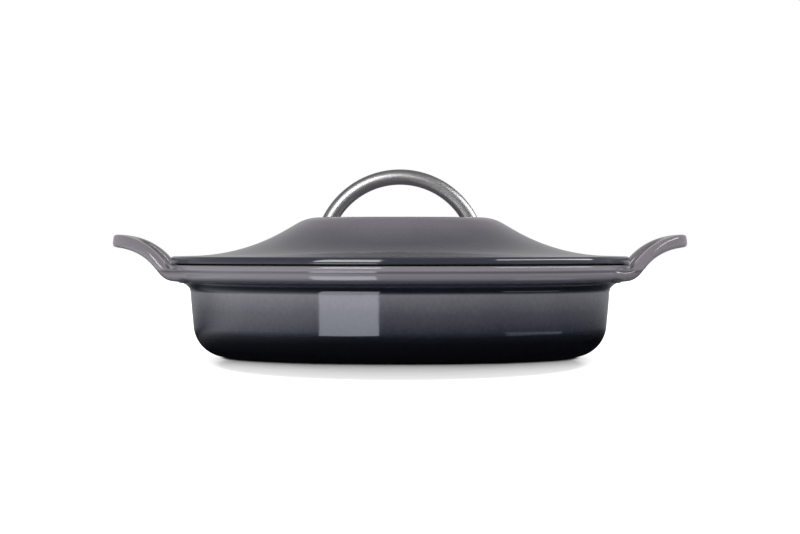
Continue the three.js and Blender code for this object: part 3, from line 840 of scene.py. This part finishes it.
def lid_rim():
    """From the underside of the rim round the centring ring and the edge."""
    seat = SEAT_HEIGHT + LID_SEAT_GAP
    skirt_foot = SEAT_HEIGHT - SKIRT_DEPTH
    edge = RIM_RADIUS - LID_EDGE
    points = [(SKIRT_OUTER - SKIRT_WIDTH, SEAT_HEIGHT + LID_RIM_HEIGHT - LID_THICKNESS)]
    inner_edge = (SKIRT_OUTER - SKIRT_WIDTH + SKIRT_TAPER, skirt_foot + SKIRT_EDGE)
    points += arc(inner_edge, SKIRT_EDGE, 180, 270, 4)
    points += arc((SKIRT_OUTER - SKIRT_TAPER, skirt_foot + SKIRT_EDGE), SKIRT_EDGE, 270, 360, 4)
    relief = seat + RELIEF_HEIGHT
    points += [(SKIRT_OUTER, seat), (RIM_RADIUS - RELIEF_WIDTH, seat)]
    points += [(RIM_RADIUS - RELIEF_WIDTH + RELIEF_HEIGHT, relief)]
    low_edge = (RIM_RADIUS - LID_LOW_EDGE, relief + LID_LOW_EDGE)
    points += arc(low_edge, LID_LOW_EDGE, -90, 0, 6)
    edge_height = SEAT_HEIGHT + LID_RIM_HEIGHT - low_edge[1]
    for radius, height in arc((0, 0), 1, 0, 90, 12)[1:]:
        points.append((edge + LID_EDGE * radius, low_edge[1] + edge_height * height))
    return points


underside = SEAT_HEIGHT + LID_HEIGHT - LID_THICKNESS
top = SEAT_HEIGHT + LID_HEIGHT
lid_points = [(0, underside)] + lid_line(LID_THICKNESS) + lid_rim()
lid_points += lid_line(0)[::-1] + [(0, top)]
lid_shell = turn_profile("lid_shell", lid_points)

# %% [markdown]
# ## Holes for the screws
# The arched handle is screwed on from below. For each screw the lid has a plain hole, and round
# it a shallow flat for the seal. Cylinders cut them, as a drill and a facing cutter would.

# %% Cut the screw holes through the lid
SCREW_PLACE = 42.7
HOLE_RADIUS = 2.8
SPOT_FACE_RADIUS = 7.5
SPOT_FACE_DEPTH = 0.4
CUT_MARGIN = 3


def cut_cylinder(piece, radius, place, low, high, sides=48):
    """Cuts an upright round hole out of a piece."""
    bpy.ops.object.select_all(action="DESELECT")
    middle = Vector((place, 0, (low + high) / 2)) * MM
    bpy.ops.mesh.primitive_cylinder_add(
        vertices=sides, radius=radius * MM, depth=(high - low) * MM, location=middle
    )
    cutter = bpy.context.object
    use_modifier(piece, "BOOLEAN", operation="DIFFERENCE", object=cutter, solver="EXACT")
    bpy.data.objects.remove(cutter)


for side in (-1, 1):
    low = underside - CUT_MARGIN
    cut_cylinder(lid_shell, HOLE_RADIUS, side * SCREW_PLACE, low, top + CUT_MARGIN)
    spot_top = underside + SPOT_FACE_DEPTH
    cut_cylinder(lid_shell, SPOT_FACE_RADIUS, side * SCREW_PLACE, low, spot_top)
print("lid_shell now has", len(lid_shell.data.polygons), "faces")

# %% [markdown]
# ## The arched handle
# The handle is a plain steel rod of 10 mm, bent to an arc and cut off flat where its feet stand on
# the lid. A circle is spun about the middle of the arc, a little too far on both sides, and a level
# cut takes off what is too long. The angle is negative because the spin tool turns backwards.

# %% Bend the rod
ROD_RADIUS = 5
ARCH_RADIUS = 51.24
ROD_TOP = round(cad_box[1][2] / MM, 1)
ARCH_CENTRE = ROD_TOP - ROD_RADIUS - ARCH_RADIUS
ARCH_HALF_TURN = math.radians(71)

bpy.ops.object.select_all(action="DESELECT")
start = Vector((-math.sin(ARCH_HALF_TURN), 0, math.cos(ARCH_HALF_TURN))) * ARCH_RADIUS
bpy.ops.mesh.primitive_circle_add(
    vertices=40,
    radius=ROD_RADIUS * MM,
    location=(start + Vector((0, 0, ARCH_CENTRE))) * MM,
    rotation=(0, math.pi / 2 - ARCH_HALF_TURN, 0),
)
arch = bpy.context.object
arch.name = "arch_rod"
settle(arch)
bpy.ops.object.mode_set(mode="EDIT")
bpy.ops.mesh.select_all(action="SELECT")
bpy.ops.mesh.spin(
    steps=96, angle=-2 * ARCH_HALF_TURN, center=(0, 0, ARCH_CENTRE * MM), axis=(0, 1, 0)
)
bpy.ops.mesh.select_all(action="SELECT")
bpy.ops.mesh.remove_doubles(threshold=MERGE_DISTANCE)
bpy.ops.mesh.bisect(
    plane_co=(0, 0, top * MM), plane_no=(0, 0, 1), use_fill=True, clear_inner=True
)
bpy.ops.mesh.select_all(action="SELECT")
bpy.ops.mesh.normals_make_consistent(inside=False)
bpy.ops.object.mode_set(mode="OBJECT")
print("arch_rod has", len(arch.data.polygons), "faces")

# %% [markdown]
# ## Drilled feet
# Each foot is drilled for its screw. The holes are hidden when the handle is on the lid, but
# every piece is made whole, as on a bench.

# %% Drill the feet of the rod
DRILL_START = 5
DRILL_DEPTH = 6

for side in (-1, 1):
    cut_cylinder(arch, HOLE_RADIUS, side * SCREW_PLACE, top - DRILL_START, top + DRILL_DEPTH, 32)
print("arch_rod now has", len(arch.data.polygons), "faces")

# %% [markdown]
# ## What holds the handle
# Under the lid each foot is held by a screw with a rounded head, on a flat washer and a heat-proof
# seal. They are seen when the lid is lifted. All are small turned parts, so they are spun like the
# pot, and the screw's slot is cut with a bar.

# %% Turn the fasteners
SEAL_RADIUS = 7
SEAL_THICKNESS = 1
SEAL_ROUNDING = 0.3
WASHER_RADIUS = 6
WASHER_THICKNESS = 1
WASHER_ROUNDING = 0.15
SCREW_RADIUS = 2.5
HEAD_RADIUS = 4.8
HEAD_HEIGHT = 2.6
HEAD_ROUNDING = 1.6
HEAD_CHAMFER = 0.15
SCREW_REACH = 5.6
TIP_CHAMFER = 0.5
SLOT_BAR = Vector((14, 1.2, 2.6))
SMALL_STEPS = 64


def flat_ring(name, place, radius, low, thickness, rounding):
    """A washer or a seal, with rounded outer edges."""
    outer = radius - rounding
    points = [(HOLE_RADIUS, low)]
    points += arc((outer, low + rounding), rounding, -90, 0, 4)
    points += arc((outer, low + thickness - rounding), rounding, 0, 90, 4)
    points += [(HOLE_RADIUS, low + thickness), (HOLE_RADIUS, low)]
    return turn_profile(name, points, SMALL_STEPS, (place, 0, 0))


def slotted_screw(name, place, face):
    """A screw that stands head down, with the face of its head against the washer."""
    crown = (HEAD_RADIUS - HEAD_ROUNDING, face - HEAD_HEIGHT + HEAD_ROUNDING)
    tip = top + SCREW_REACH
    points = [(0, face - HEAD_HEIGHT)] + arc(crown, HEAD_ROUNDING, -90, 0, 8)
    points += [(HEAD_RADIUS, face - HEAD_CHAMFER), (HEAD_RADIUS - HEAD_CHAMFER, face)]
    points += [(SCREW_RADIUS, face), (SCREW_RADIUS, tip - TIP_CHAMFER)]
    points += [(SCREW_RADIUS - TIP_CHAMFER, tip), (0, tip)]
    screw = turn_profile(name, points, SMALL_STEPS, (place, 0, 0))
    bpy.ops.object.select_all(action="DESELECT")
    slot_place = Vector((place, 0, face - HEAD_HEIGHT)) * MM
    bpy.ops.mesh.primitive_cube_add(size=1, location=slot_place, scale=SLOT_BAR * MM)
    bar = bpy.context.object
    use_modifier(screw, "BOOLEAN", operation="DIFFERENCE", object=bar, solver="EXACT")
    bpy.data.objects.remove(bar)
    return screw


fasteners = {}
for side_name, side in (("left", -1), ("right", 1)):
    place = side * SCREW_PLACE
    seal_low = underside + SPOT_FACE_DEPTH - SEAL_THICKNESS
    washer_low = seal_low - WASHER_THICKNESS
    seal_size = (SEAL_RADIUS, seal_low, SEAL_THICKNESS, SEAL_ROUNDING)
    washer_size = (WASHER_RADIUS, washer_low, WASHER_THICKNESS, WASHER_ROUNDING)
    seal = flat_ring(side_name + "_seal_ring", place, *seal_size)
    washer = flat_ring(side_name + "_washer_ring", place, *washer_size)
    screw = slotted_screw(side_name + "_slot_screw", place, washer_low)
    fasteners[side_name + "_seal"] = seal
    fasteners[side_name + "_washer"] = washer
    fasteners[side_name + "_screw"] = screw

# %% [markdown]
# ## Enamel
# Vitreous enamel is glass melted onto the iron. The outside of this pot is graded: a warm grey at
# the rim and the handles, and nearly black with a touch of blue at the base. A colour ramp over the
# height gives the grading, broken up a little by noise. The surface isn't quite even, so a
# weak bump makes reflections waver. Inside, the enamel is a pale sand colour, and the edges that
# touch when the lid is closed are a matt black ground coat.

# %% Helpers for finishes
def new_finish(name, roughness, metallic=0.0):
    """A material with its shader, ready for more nodes."""
    finish = bpy.data.materials.new(name)
    finish.use_nodes = True
    shader = finish.node_tree.nodes["Principled BSDF"]
    shader.inputs["Roughness"].default_value = roughness
    shader.inputs["Metallic"].default_value = metallic
    return finish, finish.node_tree, shader


def object_place(tree):
    """Where a point lies on the piece: the vector, and its radius and height."""
    place = object_coordinates(tree)
    split = tree.nodes.new("ShaderNodeSeparateXYZ")
    tree.links.new(place, split.inputs[0])
    radius = vector_maths(tree, "LENGTH", vector_maths(tree, "MULTIPLY", place, (1, 1, 0)))
    return place, radius, split.outputs["Z"]


def noise(tree, place, scale, detail=2.0):
    """Cloudy noise from 0 to 1, finer for a larger scale."""
    texture = tree.nodes.new("ShaderNodeTexNoise")
    texture.inputs["Scale"].default_value = scale
    texture.inputs["Detail"].default_value = detail
    tree.links.new(place, texture.inputs["Vector"])
    return texture.outputs["Fac"]


def add_bumps(tree, shader, layers):
    """Adds layers of bump, each a pattern with its depth in millimetres."""
    normal = None
    for pattern, depth in layers:
        bump = tree.nodes.new("ShaderNodeBump")
        bump.inputs["Strength"].default_value = 1
        bump.inputs["Distance"].default_value = depth * MM
        tree.links.new(pattern, bump.inputs["Height"])
        if normal:
            tree.links.new(normal, bump.inputs["Normal"])
        normal = bump.outputs["Normal"]
    tree.links.new(normal, shader.inputs["Normal"])


# Painted shade: how far faces that look down, and the cove under the flange, move the pot's ramp
# towards black.
UNDERSIDE_SHADE = 0.36
COVE_SHADE = 0.3
HANDLE_START = (133 * MM, 147 * MM)
GROOVE_FREE = (54.2 * MM, 55.0 * MM)
COVE_START = (42.4 * MM, 44.2 * MM)
COVE_END = (45.0 * MM, 49.7 * MM)


def painted_underside_shade(tree, place, height):
    """Painted shade: faces that look down, most of all the flange's lower edge, and the cove under
    it turn darker, but not the handles.
    """
    normal = tree.nodes.new("ShaderNodeTexCoord").outputs["Normal"]
    normal_parts = tree.nodes.new("ShaderNodeSeparateXYZ")
    tree.links.new(normal, normal_parts.inputs[0])
    facing_down = stretch(tree, normal_parts.outputs["Z"], -0.95, -0.05, -UNDERSIDE_SHADE, 0.0)
    place_parts = tree.nodes.new("ShaderNodeSeparateXYZ")
    tree.links.new(place, place_parts.inputs[0])
    to_side = maths(tree, "ABSOLUTE", place_parts.outputs["X"], 0)
    off_handles = stretch(tree, to_side, *HANDLE_START, 1.0, 0.0, ease=True)
    below_groove = stretch(tree, height, *GROOVE_FREE, 1.0, 0.0)
    facing_down = maths(tree, "MULTIPLY", facing_down, off_handles)
    facing_down = maths(tree, "MULTIPLY", facing_down, below_groove)
    above_wall = stretch(tree, height, *COVE_START, 0.0, -COVE_SHADE, ease=True)
    under_flange = stretch(tree, height, *COVE_END, 1.0, 0.0)
    return maths(tree, "ADD", facing_down, maths(tree, "MULTIPLY", above_wall, under_flange))


# %% [markdown]
# ## The enamels of this pot
# The pot's colour runs up its height and the lid's runs out over its radius. On the pot the ramp
# also turns darker on faces that look down and in the cove under the flange, as painted shade. The
# grain of the spray shows on the wall and fades out towards the flange, whose glaze is even. The
# dark stop high in the pot's ramp is painted shade in the groove under the lip.

# %% Mix the enamels
CLOUD_SCALE = 28
GRAIN_SCALE = 430
RIPPLE_SCALE = 150
PEEL_SCALE = 560
RIPPLE_DEPTH = 0.009
PEEL_DEPTH = 0.003
UNEVENNESS = 0.035
EVEN_FROM = (46 * MM, 52 * MM)


def graded_enamel(name, stops, by_radius, high):
    """Glossy enamel whose colour runs through stops up to a height or out to a radius."""
    finish, tree, shader = new_finish(name, 0.08)
    place, radius, height = object_place(tree)
    wobble = stretch(tree, noise(tree, place, CLOUD_SCALE), 0.0, 1.0, -UNEVENNESS, UNEVENNESS)
    share = stretch(tree, radius if by_radius else height, 0, high * MM)
    if not by_radius:
        # Painted shade on faces that look down and in the cove under the flange.
        share = maths(tree, "ADD", share, painted_underside_shade(tree, place, height))
    grain = noise(tree, place, GRAIN_SCALE, 3.0)
    grain = stretch(tree, grain, 0.0, 1.0, -UNEVENNESS, UNEVENNESS)
    uneven = maths(tree, "ADD", wobble, grain)
    if not by_radius:
        below_flange = stretch(tree, height, *EVEN_FROM, 1.0, 0.0)
        uneven = maths(tree, "MULTIPLY", uneven, below_flange)
    colour = colour_ramp(tree, maths(tree, "ADD", share, uneven), stops)
    tree.links.new(colour, shader.inputs["Base Color"])
    shader.inputs["IOR"].default_value = 1.5
    ripple = noise(tree, place, RIPPLE_SCALE, 1.5)
    peel = noise(tree, place, PEEL_SCALE, 1.0)
    add_bumps(tree, shader, [(ripple, RIPPLE_DEPTH), (peel, PEEL_DEPTH)])
    return finish


POT_TONES = [
    (0.0, (0.0045, 0.0048, 0.0075)),
    (0.118, (0.0095, 0.0105, 0.0155)),
    (0.178, (0.018, 0.021, 0.033)),
    (0.24, (0.033, 0.037, 0.053)),
    (0.30, (0.054, 0.056, 0.071)),
    (0.365, (0.072, 0.074, 0.091)),
    (0.425, (0.110, 0.108, 0.129)),
    (0.53, (0.188, 0.181, 0.205)),
    (0.688, (0.186, 0.175, 0.199)),
    # Painted shade in the groove under the lip.
    (0.705, (0.095, 0.089, 0.101)),
    (0.722, (0.245, 0.226, 0.257)),
    (1.0, (0.205, 0.189, 0.212)),
]
LID_TONES = [
    (0.0, (0.200, 0.182, 0.212)),
    (0.355, (0.200, 0.182, 0.212)),
    (0.46, (0.158, 0.147, 0.174)),
    (0.54, (0.112, 0.107, 0.129)),
    (0.60, (0.086, 0.085, 0.104)),
    (0.69, (0.066, 0.066, 0.082)),
    (0.93, (0.044, 0.046, 0.058)),
    (1.0, (0.034, 0.038, 0.054)),
]
POT_TONES_REACH = 80

pot_grey = graded_enamel("graded_grey_enamel", POT_TONES, by_radius=False, high=POT_TONES_REACH)
lid_grey = graded_enamel("graded_lid_enamel", LID_TONES, by_radius=True, high=RIM_RADIUS)


# %% [markdown]
# ## Sand enamel and the bare coat
# Inside, such pots have a pale enamel, on which a cook sees how the food browns. Where the pot
# and the lid touch, glossy enamel would chip, so those edges keep the matt black first coat.

# %% Mix the sand enamel and the black coat
SPECK_SCALE = 900
SPECK_RANGE = (0.62, 0.72)
SAND_DEPTH = 0.03
COAT_SCALE = 1400
COAT_DEPTH = 0.03


def sand_enamel():
    """Pale glossy enamel with the faint specks of the real one."""
    finish, tree, shader = new_finish("sand_enamel", 0.16)
    place = object_coordinates(tree)
    specks = stretch(tree, noise(tree, place, SPECK_SCALE, 1.0), *SPECK_RANGE)
    colour = colour_ramp(tree, specks, [(0.0, (0.71, 0.63, 0.48)), (1.0, (0.52, 0.43, 0.30))])
    tree.links.new(colour, shader.inputs["Base Color"])
    add_bumps(tree, shader, [(noise(tree, place, RIPPLE_SCALE, 1.5), SAND_DEPTH)])
    return finish


def ground_coat():
    """The matt black first coat that stays bare where the lid and the pot meet."""
    finish, tree, shader = new_finish("black_ground_coat", 0.5)
    place = object_coordinates(tree)
    grain = noise(tree, place, COAT_SCALE, 2.0)
    colour = colour_ramp(tree, grain, [(0.3, (0.008, 0.008, 0.009)), (0.8, (0.030, 0.029, 0.030))])
    tree.links.new(colour, shader.inputs["Base Color"])
    add_bumps(tree, shader, [(grain, COAT_DEPTH)])
    return finish


sand = sand_enamel()
black_coat = ground_coat()
print("enamels:", [paint.name for paint in (pot_grey, lid_grey, sand, black_coat)])


# %% [markdown]
# ## Which face has which enamel
# The outside, the inside and the bare edges are faces of one mesh. Each face gets its enamel by
# its place and by the way it faces, as a painter masks what has to stay bare.

# %% Paint the castings
BARE_FOOT_TOP = 0.01
BARE_SEAT_LOW = SEAT_HEIGHT - 0.35
BARE_SEAT_RADIUS = RIM_RADIUS - 0.5
LID_RIM_LOW = SEAT_HEIGHT + 1.6
BARE_LID_TOP = SEAT_HEIGHT + 0.9
INSIDE_RADIUS = WALL_TOP[0] - 3


def paint_faces(piece, finishes, choose=None):
    """Gives a piece its finishes, and each face the one that choose names by number."""
    piece.data.materials.clear()
    for finish in finishes:
        piece.data.materials.append(finish)
    counts = [0] * len(finishes)
    for face in piece.data.polygons:
        face.material_index = choose(face.center / MM, face.normal) if choose else 0
        counts[face.material_index] += 1
    print(piece.name, "faces by finish:", counts)


def pot_finish(centre, normal):
    """0 for the graded outside, 1 for the sand inside, 2 for the bare seat and foot."""
    radius = math.hypot(centre.x, centre.y)
    if centre.z < FOOT_HEIGHT + BARE_FOOT_TOP:
        return 2 if centre.z < BARE_FOOT_TOP else 0
    if centre.z > BARE_SEAT_LOW and radius < BARE_SEAT_RADIUS:
        return 2
    faces_axis = centre.x * normal.x + centre.y * normal.y < 0
    on_floor = normal.z > 0.5 and centre.z < WALL_TOP[1] and radius < INSIDE_RADIUS
    if faces_axis or on_floor:
        return 1
    return 0


def lid_finish(centre, normal):
    """0 for the graded top, 1 for the sand underside, 2 for the bare seat and ring."""
    radius = math.hypot(centre.x, centre.y)
    if radius > SKIRT_OUTER - SKIRT_WIDTH - 0.5 and centre.z < LID_RIM_LOW:
        return 2 if centre.z < BARE_LID_TOP else 0
    return 1 if normal.z < -0.2 and radius < SKIRT_OUTER else 0


paint_faces(pot_shell, [pot_grey, sand, black_coat], pot_finish)
paint_faces(lid_shell, [lid_grey, sand, black_coat], lid_finish)
paint_faces(right_handle, [pot_grey])
paint_faces(left_handle, [pot_grey])

# %% [markdown]
# ## Steel, plain steel and silicone
# The rod is stainless steel with a satin finish: it was polished along its length, which leaves
# fine lines that draw highlights out. The lines follow the bend, so the pattern is laid out over
# the angle about the arch's middle. Screws and washers are plain turned steel, and the seals
# are black silicone with a dull skin.

# %% Finish the steel and the seals
LINE_LENGTH_SQUEEZE = 0.003
LINE_SCALE = 1100
LINE_RANGE = (0.3, 0.7)
ROD_ROUGHNESS = (0.39, 0.42)
RING_SCALE = 700
RING_DEPTH = 0.004
SKIN_SCALE = 2200
SKIN_DEPTH = 0.01


def satin_rod():
    """Satin steel with faint lines along the bent rod."""
    finish, tree, shader = new_finish("satin_steel", 0.4, 1.0)
    place = object_coordinates(tree)
    split = tree.nodes.new("ShaderNodeSeparateXYZ")
    tree.links.new(place, split.inputs[0])
    above = maths(tree, "SUBTRACT", split.outputs["Z"], ARCH_CENTRE * MM)
    turn = maths(tree, "ARCTAN2", split.outputs["X"], above)
    flat = tree.nodes.new("ShaderNodeCombineXYZ")
    tree.links.new(split.outputs["X"], flat.inputs["X"])
    tree.links.new(above, flat.inputs["Y"])
    reach = vector_maths(tree, "LENGTH", flat.outputs[0])
    laid = tree.nodes.new("ShaderNodeCombineXYZ")
    tree.links.new(maths(tree, "MULTIPLY", turn, LINE_LENGTH_SQUEEZE), laid.inputs["X"])
    tree.links.new(reach, laid.inputs["Y"])
    tree.links.new(split.outputs["Y"], laid.inputs["Z"])
    lines = noise(tree, laid.outputs[0], LINE_SCALE, 2.0)
    colour = colour_ramp(tree, lines, [(0.3, (0.33, 0.325, 0.33)), (0.7, (0.36, 0.355, 0.36))])
    tree.links.new(colour, shader.inputs["Base Color"])
    rough = stretch(tree, lines, *LINE_RANGE, *ROD_ROUGHNESS)
    tree.links.new(rough, shader.inputs["Roughness"])
    return finish


def turned_steel(name, centre):
    """Plain steel with the fine rings that a lathe leaves about a piece's own middle."""
    finish, tree, shader = new_finish(name, 0.34, 1.0)
    place = object_coordinates(tree)
    about = tree.nodes.new("ShaderNodeMapping")
    about.inputs["Location"].default_value = (-centre * MM, 0, 0)
    tree.links.new(place, about.inputs["Vector"])
    rings = tree.nodes.new("ShaderNodeTexWave")
    rings.wave_type = "RINGS"
    rings.rings_direction = "Z"
    rings.inputs["Scale"].default_value = RING_SCALE
    rings.inputs["Distortion"].default_value = 1.5
    tree.links.new(about.outputs[0], rings.inputs["Vector"])
    tones = [(0, (0.50, 0.50, 0.49)), (1, (0.60, 0.60, 0.59))]
    colour = colour_ramp(tree, rings.outputs["Fac"], tones)
    tree.links.new(colour, shader.inputs["Base Color"])
    add_bumps(tree, shader, [(rings.outputs["Fac"], RING_DEPTH)])
    return finish


def black_silicone():
    """Dull black rubber with a fine skin."""
    finish, tree, shader = new_finish("black_silicone", 0.62)
    place = object_coordinates(tree)
    grain = noise(tree, place, SKIN_SCALE, 2.0)
    colour = colour_ramp(tree, grain, [(0.3, (0.014, 0.014, 0.015)), (0.8, (0.030, 0.030, 0.032))])
    tree.links.new(colour, shader.inputs["Base Color"])
    add_bumps(tree, shader, [(grain, SKIN_DEPTH)])
    return finish


paint_faces(arch, [satin_rod()])
seal_skin = black_silicone()
left_steel = turned_steel("left_turned_steel", -SCREW_PLACE)
right_steel = turned_steel("right_turned_steel", SCREW_PLACE)
for node_name, piece in fasteners.items():
    steel = left_steel if node_name.startswith("left") else right_steel
    finish = seal_skin if node_name.endswith("seal") else steel
    paint_faces(piece, [finish])

# %% [markdown]
# ## Riding on the frame
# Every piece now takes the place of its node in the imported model, and moves with that node's body:
# the pot stands still, and everything on the lid lifts with it.

# %% Attach the pieces
def attach(piece, body, node):
    """Shades a piece, lets it stand for a node and lets it ride on that node's body."""
    soften(piece)
    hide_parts(node)
    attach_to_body(piece, body)


for piece in (pot_shell, right_handle, left_handle):
    attach(piece, "pot", "pot_body")
attach(lid_shell, "lid", "lid")
attach(arch, "lid", "arch_handle")
for node_name, piece in fasteners.items():
    attach(piece, "lid", node_name)

# %% [markdown]
# ## Size
# The boxes round the imported model and round the finished pieces are written down, so that the two
# can be compared.

# %% Measure and finish
size_report = {
    "cad": [list(corner) for corner in cad_box],
    "visual": [list(corner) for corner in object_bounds()],
}
for name, corners in size_report.items():
    print(name, [[round(value * 1000, 2) for value in corner] for corner in corners])
